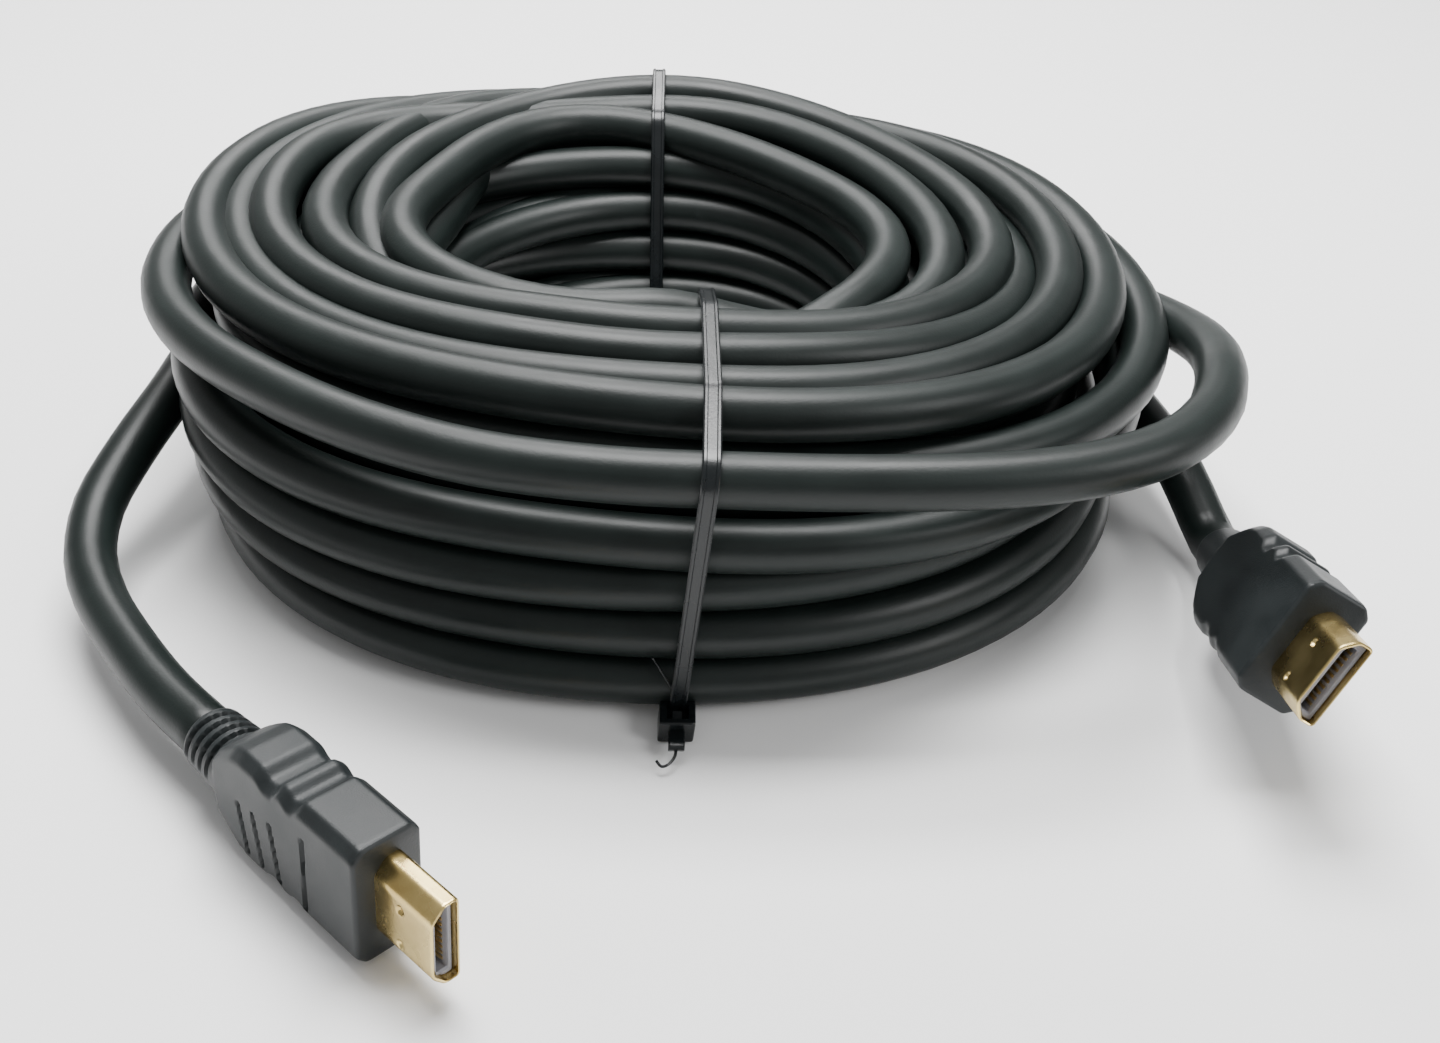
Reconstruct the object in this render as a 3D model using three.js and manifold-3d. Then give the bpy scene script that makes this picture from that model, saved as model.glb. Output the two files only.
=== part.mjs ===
import * as THREE from 'three';
import { mergeVertices } from 'three/addons/utils/BufferGeometryUtils.js';
import Module from 'manifold-3d';

const wasm = await Module();
wasm.setup();

// Everything is in millimetres, +Z up, with the coil's axis on Z until the last shift.
const CABLE_D = 8.4;
const R = CABLE_D / 2;
const GAP = 0.3;
const FLOOR = 1.6; // the straps pass under the coil, so its lowest turn sits this high

// Coil: layers of turns from the floor up, columns of turns from the hole outwards.
const LAYERS = 6;
const COLUMNS = 5;
const PITCH_Z = 8.1;
const COIL_AT = [-2, 6];
const COIL_OVAL = 0.89; // width in Y for each unit in X
const COIL_R = 77;
const PLACED_ROUND = 77; // the loose runs below were placed round a coil of this size
const INNER_TURN_R = 42;
const OUTER_TURN_R = [-0.5, 0, 0, -1, -7.5, -5.5].map((step) => COIL_R + step);
const COIL_SEGMENTS = 52;

// HDMI type A plug: shell section, exposed length and the moulding behind it.
const SHELL_W = 13.9;
const SHELL_T = 4.45;
const SHELL_CHAMFER = [2.1, 1.9];
const SHELL_WALL = 0.4;
const SHELL_LEN = 11.8;
const SHELL_SUNK = 4;
const INSULATOR_BACK = 0.8;
const INSULATOR_LEN = 13.8;
const SLOT_HALF_W = 5.3;
const SLOT_LOW = -0.55;
const SLOT_HIGH = 0.75;
const SLOT_FROM = 2;
const SLOT_LEN = 9;
const MOULD_T = 10.8;
const RELIEF_R = 5.3;
const RELIEF_LEN = 9.5;
const CABLE_SUNK = 3;
// Half outline of the moulding's wide face: distance behind the front face, half width.
const MOULD_OUTLINE = [
  [0, 9.4], [0.6, 10], [12.6, 10], [13.6, 9], [15, 9], [15.8, 9.9], [17.4, 9.9],
  [18.4, 8.6], [20.4, 8.6], [22, 9.8], [27.6, 9.8], [31, 7.4], [33, 6.2],
];
const MOULD_LEN = 33;

// Nylon tie: strap section, head block and cut end.
const TIE_W = 2.7;
const TIE_T = 1.15;
const TIE_HEAD = [5.4, 5.6, 4.2];
const TIE_END = 5;
const TIE_CORNER = 0.78 * R; // the strap cuts the coil's corners this far
const FRONT_TIE = { x: 3, waist: COIL_R + 0.4, waistZ: 42.5 }; // held off by the outer turn
const BACK_TIE = { x: -2, waistZ: 30 };

// Loose runs of the cable, centre lines by hand.
const OUTER_TURN = [
  [-63.5, 54.3, 38], [-77.5, 40, 39.5], [-87, 20, 41], [-88.5, 2, 41.5], [-84.5, -14, 41.5],
  [-75.5, -28.5, 41.5], [-62.5, -41.3, 41.5], [-46.3, -52.9, 41.5], [-28.3, -61, 41.4], [-9, -64.8, 41.4],
  [10, -65.5, 41.4], [29, -65.2, 41.5], [47, -64, 42.2], [62, -61, 43], [74, -55.5, 43.8],
  [83, -46, 44], [88, -34.5, 43], [90.5, -22, 40.5], [90.5, -9, 37], [88, 5, 34],
  [80.9, 21.2, 32],
];
const LEFT_TAIL = [
  [-76.3, 44.7, 22], [-84.2, 28, 21.5], [-88, 10, 21], [-90.5, -6, 19.5], [-94, -20, 17],
  [-96.8, -32, 13.5], [-95.5, -43, 11], [-91.3, -52, 10], [-84.5, -62, 9.7], [-77, -71.5, 9.5],
];
const RIGHT_TAIL = [[80.8, 26.2, 13.8], [86.5, 12, 13.5], [90.5, -3, 13], [92.5, -17, 12.5]];
const PLUG_LEFT = { at: [-36, -112.4, 10.9], yaw: -0.78, nose: 0.03, roll: -0.1 };
const PLUG_RIGHT = { at: [92.6, -77.1, 23.6], yaw: -1.638, nose: 0.332, roll: -0.498 };

// A point of the loose runs and plugs, moved out or in with the coil.
function withCoil([x, y, z]) {
  const dx = x - COIL_AT[0];
  const dy = y - COIL_AT[1];
  const out = Math.hypot(dx, dy / COIL_OVAL);
  const grow = (out + COIL_R - PLACED_ROUND) / out;
  return [COIL_AT[0] + dx * grow, COIL_AT[1] + dy * grow, z];
}

const MATERIALS = {
  jacket: { color: 0x1d2122, roughness: 0.48, metalness: 0 },
  mould: { color: 0x24282a, roughness: 0.55, metalness: 0 },
  shell: { color: 0xc9a85a, roughness: 0.28, metalness: 1 },
  insulator: { color: 0x6d7076, roughness: 0.5, metalness: 0 },
  tie: { color: 0x141718, roughness: 0.3, metalness: 0 },
};

const group = new THREE.Group();
group.name = 'hdmi_cable';

function put(name, geometry, material, matrix) {
  if (matrix) geometry.applyMatrix4(matrix);
  const mesh = new THREE.Mesh(geometry, new THREE.MeshStandardMaterial(MATERIALS[material]));
  mesh.name = name;
  group.add(mesh);
}

// Solids for booleans: corners are merged on position, so every mesh is closed.
function solid(geometry) {
  const bare = new THREE.BufferGeometry();
  bare.setAttribute('position', (geometry.index ? geometry.toNonIndexed() : geometry).getAttribute('position'));
  const merged = mergeVertices(bare, 1e-4);
  return new wasm.Manifold(new wasm.Mesh({
    numProp: 3,
    vertProperties: new Float32Array(merged.getAttribute('position').array),
    triVerts: new Uint32Array(merged.index.array),
  }));
}

function geometryOf(body) {
  const mesh = body.getMesh();
  const geometry = new THREE.BufferGeometry();
  geometry.setAttribute('position', new THREE.BufferAttribute(mesh.vertProperties, 3));
  geometry.setIndex(new THREE.BufferAttribute(mesh.triVerts, 1));
  const flat = geometry.toNonIndexed();
  flat.computeVertexNormals();
  return flat;
}

// A prism: outline points in (a, b), pushed through `depth` along the third axis.
function prism(points, depth) {
  const shape = new THREE.Shape(points.map(([a, b]) => new THREE.Vector2(a, b)));
  return new THREE.ExtrudeGeometry(shape, { depth, bevelEnabled: false });
}

// Coil: one turned solid with its bore, the turns' round backs all over its faces.
function scallops(centres, from, to, steps) {
  const points = [];
  for (const [cr, cz] of centres) {
    for (let i = 0; i <= steps; i++) {
      const a = THREE.MathUtils.degToRad(from + ((to - from) * i) / steps);
      points.push([cr + R * Math.cos(a), cz + R * Math.sin(a)]);
    }
  }
  return points;
}

function coilProfile() {
  const z = (layer) => FLOOR + R + PITCH_Z * layer;
  const column = (layer, i) =>
    INNER_TURN_R + ((OUTER_TURN_R[layer] - INNER_TURN_R) * i) / (COLUMNS - 1);
  const rows = [...Array(LAYERS).keys()];
  const columns = [...Array(COLUMNS).keys()];
  const top = LAYERS - 1;
  return [
    ...scallops(columns.map((i) => [column(0, i), z(0)]), -135, -45, 2),
    ...scallops(rows.map((k) => [OUTER_TURN_R[k], z(k)]), -40, 40, 2),
    ...scallops(columns.map((i) => [column(top, COLUMNS - 1 - i), z(top)]), 45, 135, 2),
    ...scallops(rows.map((k) => [INNER_TURN_R, z(LAYERS - 1 - k)]), 140, 220, 2),
  ];
}

function makeCoil() {
  const profile = coilProfile().map(([r, z]) => new THREE.Vector2(r, z));
  profile.push(profile[0].clone());
  const lathe = new THREE.LatheGeometry(profile, COIL_SEGMENTS);
  lathe.rotateX(Math.PI / 2);
  lathe.scale(1, COIL_OVAL, 1).translate(COIL_AT[0], COIL_AT[1], 0);
  return geometryOf(solid(lathe));
}

// Loose runs: a round section along a smooth line.
function makeRun(points, steps) {
  const curve = new THREE.CatmullRomCurve3(points.map((p) => new THREE.Vector3(...p)), false, 'centripetal');
  const section = new THREE.Shape();
  section.absarc(0, 0, R, 0, Math.PI * 2);
  return new THREE.ExtrudeGeometry(section, { steps, curveSegments: 10, extrudePath: curve });
}

// Plugs. Plug frame: +X towards the tip from the moulding's front face, Z across the wide face.
function shellOutline(grow) {
  const w = SHELL_W / 2 + grow;
  const t = SHELL_T / 2 + grow;
  const [cz, cy] = SHELL_CHAMFER;
  return [[t, -w], [t, w], [-t + cy, w], [-t, w - cz], [-t, -w + cz], [-t + cy, -w]];
}

// Turns a prism's own (a, b, depth) into (Y, Z, X) of the plug frame, starting at x.
function along(geometry, x) {
  const m = new THREE.Matrix4().set(0, 0, 1, x, 1, 0, 0, 0, 0, 1, 0, 0, 0, 0, 0, 1);
  return geometry.applyMatrix4(m);
}

function makeShell() {
  const length = SHELL_LEN + SHELL_SUNK;
  const outer = solid(along(prism(shellOutline(0), length), -SHELL_SUNK));
  const bore = solid(along(prism(shellOutline(-SHELL_WALL), length + 2), -SHELL_SUNK - 1));
  return geometryOf(outer.subtract(bore));
}

function makeInsulator() {
  const section = prism(shellOutline(-SHELL_WALL - GAP), INSULATOR_LEN);
  const body = solid(along(section, -SHELL_SUNK + INSULATOR_BACK));
  const [low, high, side] = [SLOT_LOW, SLOT_HIGH, SLOT_HALF_W];
  const mouth = prism([[high, -side], [high, side], [low, side], [low, -side]], SLOT_LEN);
  const slot = solid(along(mouth, SLOT_FROM));
  return geometryOf(body.subtract(slot));
}

function makeMould() {
  const upper = MOULD_OUTLINE.map(([x, h]) => [-x, h]);
  const lower = MOULD_OUTLINE.map(([x, h]) => [-x, -h]).reverse();
  const bevel = 0.9;
  const shape = new THREE.Shape([...upper, ...lower].map(([a, b]) => new THREE.Vector2(a, b)));
  const block = new THREE.ExtrudeGeometry(shape, {
    depth: MOULD_T - 2 * bevel, bevelEnabled: true, bevelThickness: bevel, bevelSize: bevel,
    bevelOffset: -bevel, bevelSegments: 2,
  });
  block.translate(0, 0, -MOULD_T / 2 + bevel);
  block.rotateX(Math.PI / 2);
  const relief = new THREE.CylinderGeometry(RELIEF_R, RELIEF_R + 0.5, RELIEF_LEN + 6, 20);
  relief.rotateZ(Math.PI / 2).translate(-MOULD_LEN - RELIEF_LEN / 2 + 3, 0, 0);
  const entry = new THREE.CylinderGeometry(R + GAP, R + GAP, CABLE_SUNK * 2, 20);
  entry.rotateZ(Math.PI / 2).translate(-MOULD_LEN - RELIEF_LEN, 0, 0);
  const pocket = along(prism(shellOutline(GAP), SHELL_SUNK + 2), -SHELL_SUNK - GAP);
  return geometryOf(solid(block).add(solid(relief)).subtract(solid(entry)).subtract(solid(pocket)));
}

function plugMatrix({ at, yaw, nose, roll }) {
  const m = new THREE.Matrix4().makeRotationFromEuler(new THREE.Euler(roll, -nose, yaw, 'ZYX'));
  return m.setPosition(...withCoil(at));
}

function addPlug(side, pose) {
  const m = plugMatrix(pose);
  put(`plug_${side}_moulding`, makeMould(), 'mould', m);
  put(`plug_${side}_shell`, makeShell(), 'shell', m);
  put(`plug_${side}_insulator`, makeInsulator(), 'insulator', m);
}

// Where the cable's centre line enters the plug's strain relief, and one step before it.
function plugEntry(pose) {
  const back = -MOULD_LEN - RELIEF_LEN;
  return [back - 8, back + CABLE_SUNK - GAP].map((x) =>
    new THREE.Vector3(x, 0, 0).applyMatrix4(plugMatrix(pose)).toArray());
}

// Ties. A tie stands in the upright plane X = x. Its strap is a flat band round the coil's section,
// seen in (distance from the coil's middle, height).
const reach = (radius, clear) => COIL_OVAL * (radius + R) + GAP + TIE_T + clear;
const coilTop = FLOOR + 2 * R + PITCH_Z * (LAYERS - 1) + GAP + TIE_T;

function makeTie({ x, side, waist, waistZ }) {
  const base = FLOOR - TIE_T - GAP;
  const foot = reach(OUTER_TURN_R[0], 0);
  const inner = COIL_OVAL * (INNER_TURN_R - R) - 2.5 * GAP - TIE_T;
  const shoulder = reach(OUTER_TURN_R[LAYERS - 1], 0);
  const cut = TIE_CORNER;
  const loop = [
    [inner + cut, base], [foot - cut, base], [foot, base + cut], [reach(COIL_R, 0.5), waistZ / 2],
    [waist, waistZ], [waist - 0.85 * R, waistZ + 1.05 * R], [shoulder, coilTop - 0.6 * R],
    [shoulder - 0.9 * R, coilTop], [inner + cut, coilTop], [inner, coilTop - cut], [inner, base + cut],
  ];
  const inset = loop.map(([r, z], i) => {
    const [ar, az] = loop[(i + loop.length - 1) % loop.length];
    const [br, bz] = loop[(i + 1) % loop.length];
    const t = new THREE.Vector2(r - ar, z - az).normalize();
    const u = new THREE.Vector2(br - r, bz - z).normalize();
    const n = new THREE.Vector2(-t.y - u.y, t.x + u.x);
    n.multiplyScalar((2 * TIE_T) / n.lengthSq());
    return [r + n.x, z + n.y];
  });
  const shape = new THREE.Shape(loop.map(([a, b]) => new THREE.Vector2(a, b)));
  shape.holes.push(new THREE.Path(inset.map(([a, b]) => new THREE.Vector2(a, b))));
  const strap = new THREE.ExtrudeGeometry(shape, { depth: TIE_W, bevelEnabled: false });
  strap.translate(0, 0, -TIE_W / 2);
  const [headL, headW, headH] = TIE_HEAD;
  const head = new THREE.BoxGeometry(headL, headH, headW);
  head.translate(foot + headL / 2 - 0.6, base + headH / 2, 0);
  const end = new THREE.BoxGeometry(TIE_END + 1, TIE_T, TIE_W);
  end.translate(foot + headL + TIE_END / 2 - 1.1, base + headH / 2, 0);
  const geometry = geometryOf(solid(strap).add(solid(head)).add(solid(end)));
  geometry.rotateX(Math.PI / 2).rotateZ((side * Math.PI) / 2);
  return geometry.translate(x, COIL_AT[1], 0);
}

put('coil', makeCoil(), 'jacket');
put('outer_turn', makeRun(OUTER_TURN.map(withCoil), 34), 'jacket');
put('left_tail', makeRun([...LEFT_TAIL.map(withCoil), ...plugEntry(PLUG_LEFT)], 16), 'jacket');
put('right_tail', makeRun([...RIGHT_TAIL.map(withCoil), ...plugEntry(PLUG_RIGHT)], 9), 'jacket');
addPlug('left', PLUG_LEFT);
addPlug('right', PLUG_RIGHT);
put('cable_tie_front', makeTie({ ...FRONT_TIE, side: -1 }), 'tie');
put('cable_tie_back', makeTie({ ...BACK_TIE, side: 1, waist: reach(COIL_R, 0.5) }), 'tie');

// The part's origin is the middle of its box on the floor.
const box = new THREE.Box3().setFromObject(group);
const middle = box.getCenter(new THREE.Vector3());
for (const mesh of group.children) mesh.geometry.translate(-middle.x, -middle.y, -box.min.z);

export default group;
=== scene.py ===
import math

import bmesh
import bpy
import numpy as np
from mathutils import Matrix, Vector


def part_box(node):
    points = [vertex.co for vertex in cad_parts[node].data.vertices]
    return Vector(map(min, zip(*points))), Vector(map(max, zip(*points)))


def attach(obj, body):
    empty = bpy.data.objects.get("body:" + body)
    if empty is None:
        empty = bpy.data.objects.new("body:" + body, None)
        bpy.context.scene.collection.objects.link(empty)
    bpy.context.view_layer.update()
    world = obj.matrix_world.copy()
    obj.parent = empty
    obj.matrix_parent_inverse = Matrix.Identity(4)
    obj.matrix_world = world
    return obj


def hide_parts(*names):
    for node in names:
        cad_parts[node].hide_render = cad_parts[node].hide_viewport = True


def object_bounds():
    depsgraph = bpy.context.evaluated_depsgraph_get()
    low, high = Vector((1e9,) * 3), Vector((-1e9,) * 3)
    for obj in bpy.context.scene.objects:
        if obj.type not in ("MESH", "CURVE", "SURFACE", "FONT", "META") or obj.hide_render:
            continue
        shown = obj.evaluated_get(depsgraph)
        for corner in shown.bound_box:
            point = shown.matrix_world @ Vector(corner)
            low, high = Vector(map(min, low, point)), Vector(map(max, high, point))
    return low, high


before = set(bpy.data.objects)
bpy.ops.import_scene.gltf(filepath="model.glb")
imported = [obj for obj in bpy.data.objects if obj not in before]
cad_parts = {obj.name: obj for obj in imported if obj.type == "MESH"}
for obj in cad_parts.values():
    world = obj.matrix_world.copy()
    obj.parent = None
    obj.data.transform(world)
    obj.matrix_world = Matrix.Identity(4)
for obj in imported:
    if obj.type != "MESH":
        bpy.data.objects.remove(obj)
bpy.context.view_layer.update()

MM = 0.001

# The coil's own frame, in mm: x and y from the camera's middle line, z up from the floor.
COIL_AT = (-2.0, 6.0)
COIL_LOW = 1.6
coil_low, coil_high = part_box("coil")
SHIFT = Vector((
    (coil_low.x + coil_high.x) / 2 / MM - COIL_AT[0],
    (coil_low.y + coil_high.y) / 2 / MM - COIL_AT[1],
    coil_low.z / MM - COIL_LOW,
))


def placed(point):
    """A point of the coil's frame, in mm, as a point of the row frame, in metres."""
    return (Vector(point) + SHIFT) * MM


# Camera.
CAMERA_AT = (0.0, -244.40, 171.95)
CAMERA_YAW, CAMERA_DOWN, CAMERA_ROLL = 0.0398, 0.6458, -0.0359
CAMERA_LENS = 38.63


def make_camera():
    yaw, down, roll = CAMERA_YAW, CAMERA_DOWN, CAMERA_ROLL
    ahead = Vector((math.sin(yaw) * math.cos(down), math.cos(yaw) * math.cos(down), -math.sin(down)))
    level = Vector((math.cos(yaw), -math.sin(yaw), 0))
    below = ahead.cross(level)
    right = level * math.cos(roll) + below * math.sin(roll)
    lower = below * math.cos(roll) - level * math.sin(roll)
    data = bpy.data.cameras.new("camera")
    data.sensor_width, data.lens = 36, CAMERA_LENS
    data.clip_start, data.clip_end = 0.01, 20
    camera = bpy.data.objects.new("camera", data)
    axes = Matrix((right, -lower, -ahead)).transposed().to_4x4()
    camera.matrix_world = Matrix.Translation(placed(CAMERA_AT)) @ axes
    bpy.context.scene.collection.objects.link(camera)
    bpy.context.scene.camera = camera


make_camera()

# Finishes.
TONE_SCALE = 90.0
SKIN_SHARE, STREAK_SHARE = 0.4, 0.6
RUBBED_DULLER = 0.25
BUMP_STRENGTH = 0.6


def shader_group(name, inputs, outputs):
    group = bpy.data.node_groups.new(name, "ShaderNodeTree")
    for label, kind, value in inputs:
        socket = group.interface.new_socket(label, in_out="INPUT", socket_type=kind)
        if value is not None:
            socket.default_value = value
    for label, kind in outputs:
        group.interface.new_socket(label, in_out="OUTPUT", socket_type=kind)
    return group, group.nodes.new("NodeGroupInput"), group.nodes.new("NodeGroupOutput")


def noise(tree, place, scale, detail, rough=0.55):
    node = tree.nodes.new("ShaderNodeTexNoise")
    node.inputs["Detail"].default_value, node.inputs["Roughness"].default_value = detail, rough
    tree.links.new(place, node.inputs["Vector"])
    if isinstance(scale, (int, float)):
        node.inputs["Scale"].default_value = scale
    else:
        tree.links.new(scale, node.inputs["Scale"])
    return node.outputs["Fac"]


def math_node(tree, operation, *values, clamp=False):
    node = tree.nodes.new("ShaderNodeMath")
    node.operation, node.use_clamp = operation, clamp
    for socket, value in zip(node.inputs, values):
        if isinstance(value, (int, float)):
            socket.default_value = value
        else:
            tree.links.new(value, socket)
    return node.outputs[0]


def spread(tree, value, low, high, to_low, to_high):
    node = tree.nodes.new("ShaderNodeMapRange")
    tree.links.new(value, node.inputs["Value"])
    for label, number in zip(("From Min", "From Max", "To Min", "To Max"), (low, high, to_low, to_high)):
        node.inputs[label].default_value = number
    return node.outputs["Result"]


def make_grain_group():
    """Fine pits or pimples of a moulded skin, and the slow change of tone under them."""
    group, into, out = shader_group(
        "moulded_grain",
        [("Place", "NodeSocketVector", None), ("Grain Scale", "NodeSocketFloat", 3000.0),
         ("Tone Scale", "NodeSocketFloat", TONE_SCALE)],
        [("Height", "NodeSocketFloat"), ("Tone", "NodeSocketFloat")],
    )
    place = into.outputs["Place"]
    group.links.new(noise(group, place, into.outputs["Grain Scale"], 3.0), out.inputs["Height"])
    tone = noise(group, place, into.outputs["Tone Scale"], 4.0)
    group.links.new(spread(group, tone, 0.32, 0.68, 0.0, 1.0), out.inputs["Tone"])
    return group


def make_rub_group():
    """Where hands and the floor have rubbed a surface: sparse, soft-edged, with fine lines in it."""
    group, into, out = shader_group(
        "rubbed",
        [("Place", "NodeSocketVector", None), ("Scale", "NodeSocketFloat", 60.0),
         ("Share", "NodeSocketFloat", 0.35)],
        [("Mask", "NodeSocketFloat")],
    )
    place = into.outputs["Place"]
    patches = noise(group, place, into.outputs["Scale"], 5.0, 0.62)
    lines = noise(group, place, math_node(group, "MULTIPLY", into.outputs["Scale"], 14.0), 2.0)
    level = math_node(group, "SUBTRACT", 0.85, math_node(group, "MULTIPLY", into.outputs["Share"], 0.6))
    over = math_node(group, "MULTIPLY", math_node(group, "SUBTRACT", patches, level), 6.0, clamp=True)
    group.links.new(math_node(group, "MULTIPLY", over, lines, clamp=True), out.inputs["Mask"])
    return group


moulded_grain, rubbed = make_grain_group(), make_rub_group()


def placed_group(tree, group, place, **values):
    node = tree.nodes.new("ShaderNodeGroup")
    node.node_tree = group
    tree.links.new(place, node.inputs["Place"])
    for label, value in values.items():
        node.inputs[label.replace("_", " ").title()].default_value = value
    return node


def surface_place(tree, stretch=None):
    """Where on the surface: object coordinates, or along and round a run of the cable."""
    if stretch is None:
        return tree.nodes.new("ShaderNodeTexCoord").outputs["Object"]
    run = tree.nodes.new("ShaderNodeAttribute")
    run.attribute_name = "run"
    scaled = tree.nodes.new("ShaderNodeVectorMath")
    scaled.operation = "MULTIPLY"
    scaled.inputs[1].default_value = stretch
    tree.links.new(run.outputs["Vector"], scaled.inputs[0])
    return scaled.outputs[0]


def finish(name, dark, light, rough, grain, rub, run=None, metallic=0.0, **sockets):
    """A finish with tone, grain and rubbed patches.

    dark and light are the base colours that the tone runs between, rough is (smooth, dull), grain is
    (scale, depth in metres), rub is (scale, share, colour), and run is how far the tone is stretched
    along a cable."""
    material = bpy.data.materials.new(name)
    material.use_nodes = True
    tree = material.node_tree
    shader = tree.nodes["Principled BSDF"]
    shader.inputs["Metallic"].default_value = metallic
    for label, value in sockets.items():
        shader.inputs[label.replace("_", " ").title().replace("Ior", "IOR")].default_value = value
    skin = surface_place(tree)
    made = placed_group(tree, moulded_grain, skin, grain_scale=grain[0], tone_scale=TONE_SCALE)
    tone = made.outputs["Tone"]
    if run is not None:
        streak = noise(tree, surface_place(tree, run), 1.0, 4.0)
        streak = spread(tree, streak, 0.3, 0.7, 0.0, 1.0)
        tone = math_node(tree, "ADD", math_node(tree, "MULTIPLY", tone, SKIN_SHARE),
                         math_node(tree, "MULTIPLY", streak, STREAK_SHARE))
    worn = placed_group(tree, rubbed, skin, scale=rub[0], share=rub[1]).outputs["Mask"]
    mix = tree.nodes.new("ShaderNodeMix")
    mix.data_type = "RGBA"
    tree.links.new(tone, mix.inputs["Factor"])
    mix.inputs[6].default_value, mix.inputs[7].default_value = (*dark, 1), (*light, 1)
    over = tree.nodes.new("ShaderNodeMix")
    over.data_type = "RGBA"
    tree.links.new(worn, over.inputs["Factor"])
    tree.links.new(mix.outputs[2], over.inputs[6])
    over.inputs[7].default_value = (*rub[2], 1)
    tree.links.new(over.outputs[2], shader.inputs["Base Color"])
    dull = spread(tree, tone, 0.0, 1.0, *rough)
    duller = math_node(tree, "MULTIPLY", worn, RUBBED_DULLER)
    tree.links.new(math_node(tree, "ADD", dull, duller), shader.inputs["Roughness"])
    bump = tree.nodes.new("ShaderNodeBump")
    bump.inputs["Distance"].default_value = grain[1]
    bump.inputs["Strength"].default_value = BUMP_STRENGTH
    tree.links.new(made.outputs["Height"], bump.inputs["Height"])
    tree.links.new(bump.outputs["Normal"], shader.inputs["Normal"])
    return material


JACKET = finish(
    "black_jacket", (0.0030, 0.0054, 0.0048), (0.0078, 0.0128, 0.0115), (0.36, 0.50), (2200, 0.00004),
    (70, 0.22, (0.035, 0.041, 0.041)), run=(9.0, 1.6, 1.6), specular_ior_level=0.30,
)
MOULDING = finish(
    "slate_moulding", (0.0060, 0.0080, 0.0085), (0.0135, 0.0170, 0.0180), (0.40, 0.52), (3600, 0.00006),
    (120, 0.25, (0.040, 0.046, 0.048)), specular_ior_level=0.35,
)
GOLD = finish(
    "gold_plate", (0.52, 0.37, 0.13), (0.76, 0.60, 0.27), (0.20, 0.34), (1500, 0.00002),
    (260, 0.3, (0.50, 0.44, 0.28)), metallic=1.0,
)
CONTACT = finish(
    "contact_gold", (0.70, 0.50, 0.20), (0.86, 0.68, 0.34), (0.22, 0.34), (3000, 0.00001),
    (400, 0.2, (0.6, 0.5, 0.3)), metallic=1.0,
)
INSULATOR = finish(
    "grey_insulator", (0.20, 0.20, 0.225), (0.30, 0.30, 0.33), (0.45, 0.6), (3000, 0.00003),
    (300, 0.2, (0.4, 0.4, 0.42)),
)
TIE = finish(
    "black_nylon", (0.003, 0.0045, 0.005), (0.007, 0.009, 0.010), (0.20, 0.32), (1800, 0.00003),
    (160, 0.25, (0.05, 0.055, 0.055)), specular_ior_level=0.4,
)

# Mesh helpers.


def piece_of(name, points, faces, material):
    mesh = bpy.data.meshes.new(name)
    mesh.from_pydata([tuple(p) for p in points], [], faces)
    mesh.update()
    mesh.shade_smooth()
    mesh.materials.append(material)
    piece = bpy.data.objects.new(name, mesh)
    bpy.context.scene.collection.objects.link(piece)
    return piece


def smooth_line(points, per_step):
    """Points on a centripetal curve through the given ones, about per_step metres apart."""
    p = np.array([tuple(v) for v in points], float)
    p = np.vstack([2 * p[0] - p[1], p, 2 * p[-1] - p[-2]])
    out = []
    for a, b, c, d in zip(p, p[1:], p[2:], p[3:]):
        gaps = [np.linalg.norm(q - r) ** 0.5 for q, r in ((b, a), (c, b), (d, c))]
        knots = np.concatenate([[0], np.cumsum(gaps)])
        n = max(1, round(float(np.linalg.norm(c - b)) / per_step))
        t = np.linspace(knots[1], knots[2], n, endpoint=False)[:, None]
        k0, k1, k2, k3 = knots
        a1 = (k1 - t) / (k1 - k0) * a + (t - k0) / (k1 - k0) * b
        a2 = (k2 - t) / (k2 - k1) * b + (t - k1) / (k2 - k1) * c
        a3 = (k3 - t) / (k3 - k2) * c + (t - k2) / (k3 - k2) * d
        b1 = (k2 - t) / (k2 - k0) * a1 + (t - k0) / (k2 - k0) * a2
        b2 = (k3 - t) / (k3 - k1) * a2 + (t - k1) / (k3 - k1) * a3
        out.append((k2 - t) / (k2 - k1) * b1 + (t - k1) / (k2 - k1) * b2)
    return np.vstack([*out, p[-2:-1]])


def tube(name, line, radius, sides, material):
    """A round tube with flat ends along a line of points, each marked with its place along and round it."""
    line = np.asarray(line, float)
    ahead = np.gradient(line, axis=0)
    ahead /= np.linalg.norm(ahead, axis=1)[:, None]
    side = np.cross(ahead[0], (0.0, 0.0, 1.0))
    side /= np.linalg.norm(side)
    ring_angles = np.arange(sides) * 2 * math.pi / sides
    points = []
    for centre, direction in zip(line, ahead):
        side = side - direction * np.dot(side, direction)
        side /= np.linalg.norm(side)
        up = np.cross(side, direction)
        around = np.outer(np.cos(ring_angles), side) + np.outer(np.sin(ring_angles), up)
        points.append(centre + radius * around)
    n = len(line)
    faces = [
        (i * sides + j, i * sides + (j + 1) % sides, (i + 1) * sides + (j + 1) % sides, (i + 1) * sides + j)
        for i in range(n - 1)
        for j in range(sides)
    ]
    faces += [tuple(range(sides))[::-1], tuple((n - 1) * sides + j for j in range(sides))]
    piece = piece_of(name, np.vstack(points), faces, material)
    along = np.concatenate([[0], np.cumsum(np.linalg.norm(np.diff(line, axis=0), axis=1))])
    mark = piece.data.attributes.new("run", "FLOAT_VECTOR", "POINT")
    turned = np.tile(ring_angles, n)
    values = np.stack([np.repeat(along, sides), np.cos(turned), np.sin(turned)], axis=1)
    mark.data.foreach_set("vector", values.astype(np.float32).ravel())
    return piece


# The cable's route.
CABLE_D = 8.4
CABLE_SIDES = 16
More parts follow.
